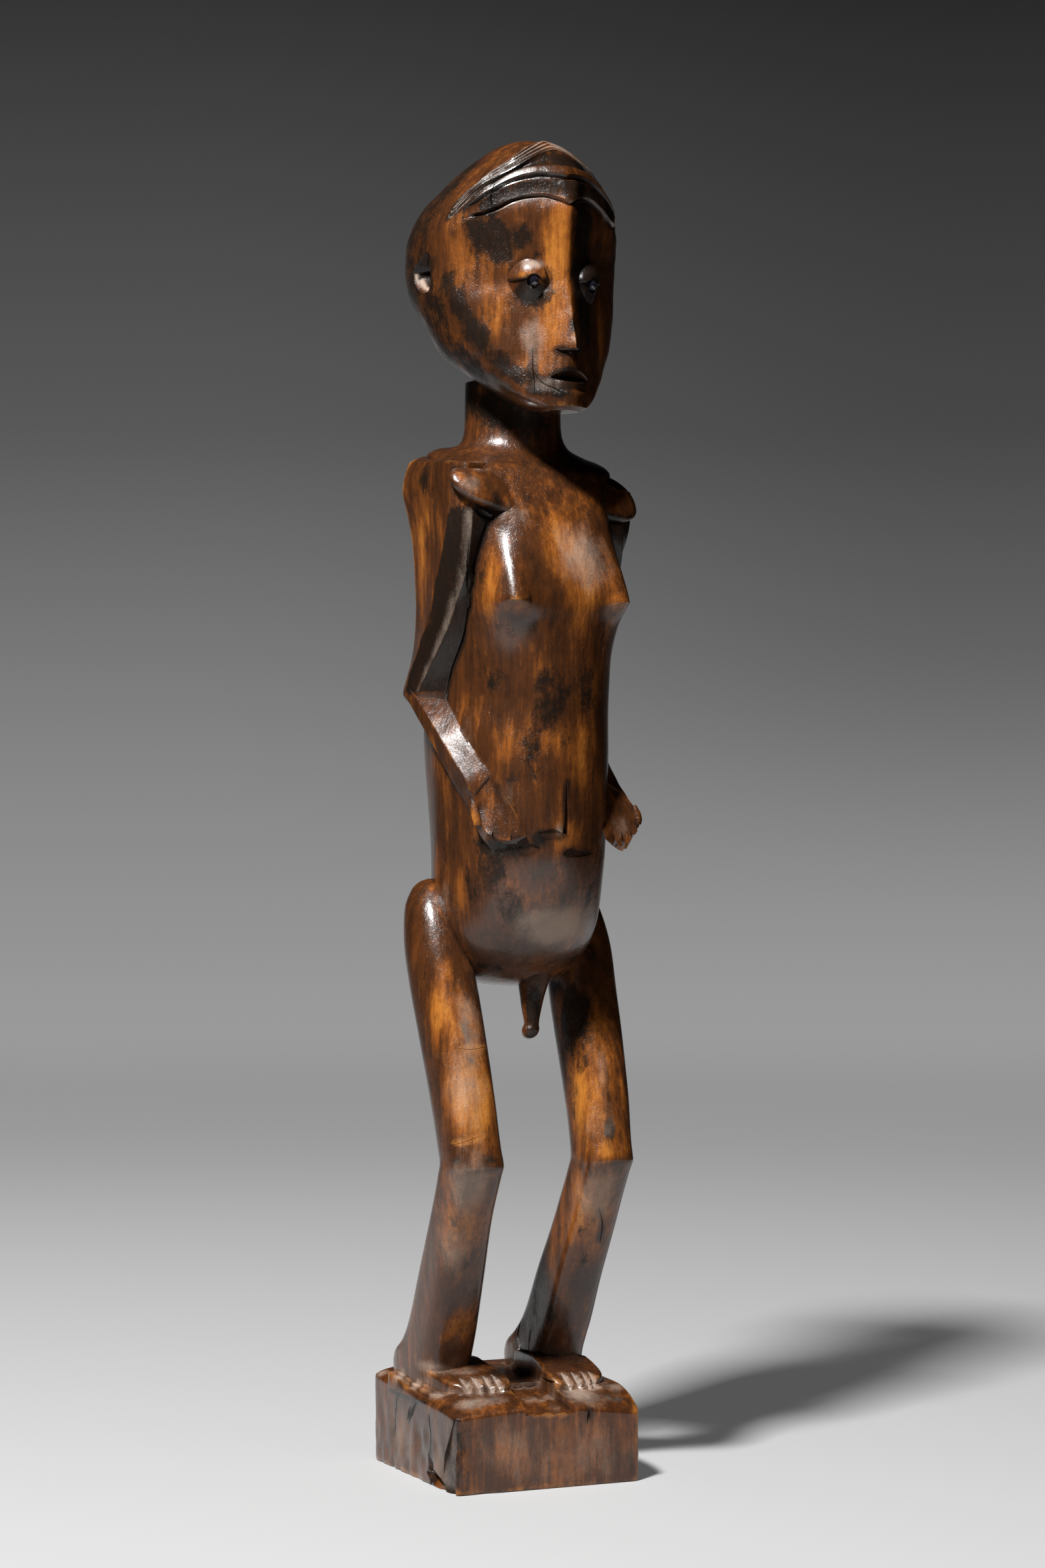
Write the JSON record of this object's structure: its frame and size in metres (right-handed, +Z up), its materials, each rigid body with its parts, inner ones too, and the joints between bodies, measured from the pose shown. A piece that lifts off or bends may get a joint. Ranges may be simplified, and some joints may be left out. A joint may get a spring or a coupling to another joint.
{
  "type": "ubangi figure",
  "caption": "Standing wooden male figure carved in one with its square block, bent knees, hands on the belly, mask-like face with glass bead eyes.",
  "frame": {"origin": "middle of the block's flat underside, on the surface the figure stands on", "axes": "+Z up through the figure to the crown of the head, -Y out of the face, +X towards the figure's own left"},
  "size_m": [0.098, 0.1186, 0.598],
  "materials": {
    "wood": "oiled and rubbed, glossy dark patina",
    "bead": "glossy"
  },
  "bodies": {
    "root": {"figure": "wood", "eye_bead_right": "bead", "eye_bead_left": "bead"}
  },
  "joints": []
}
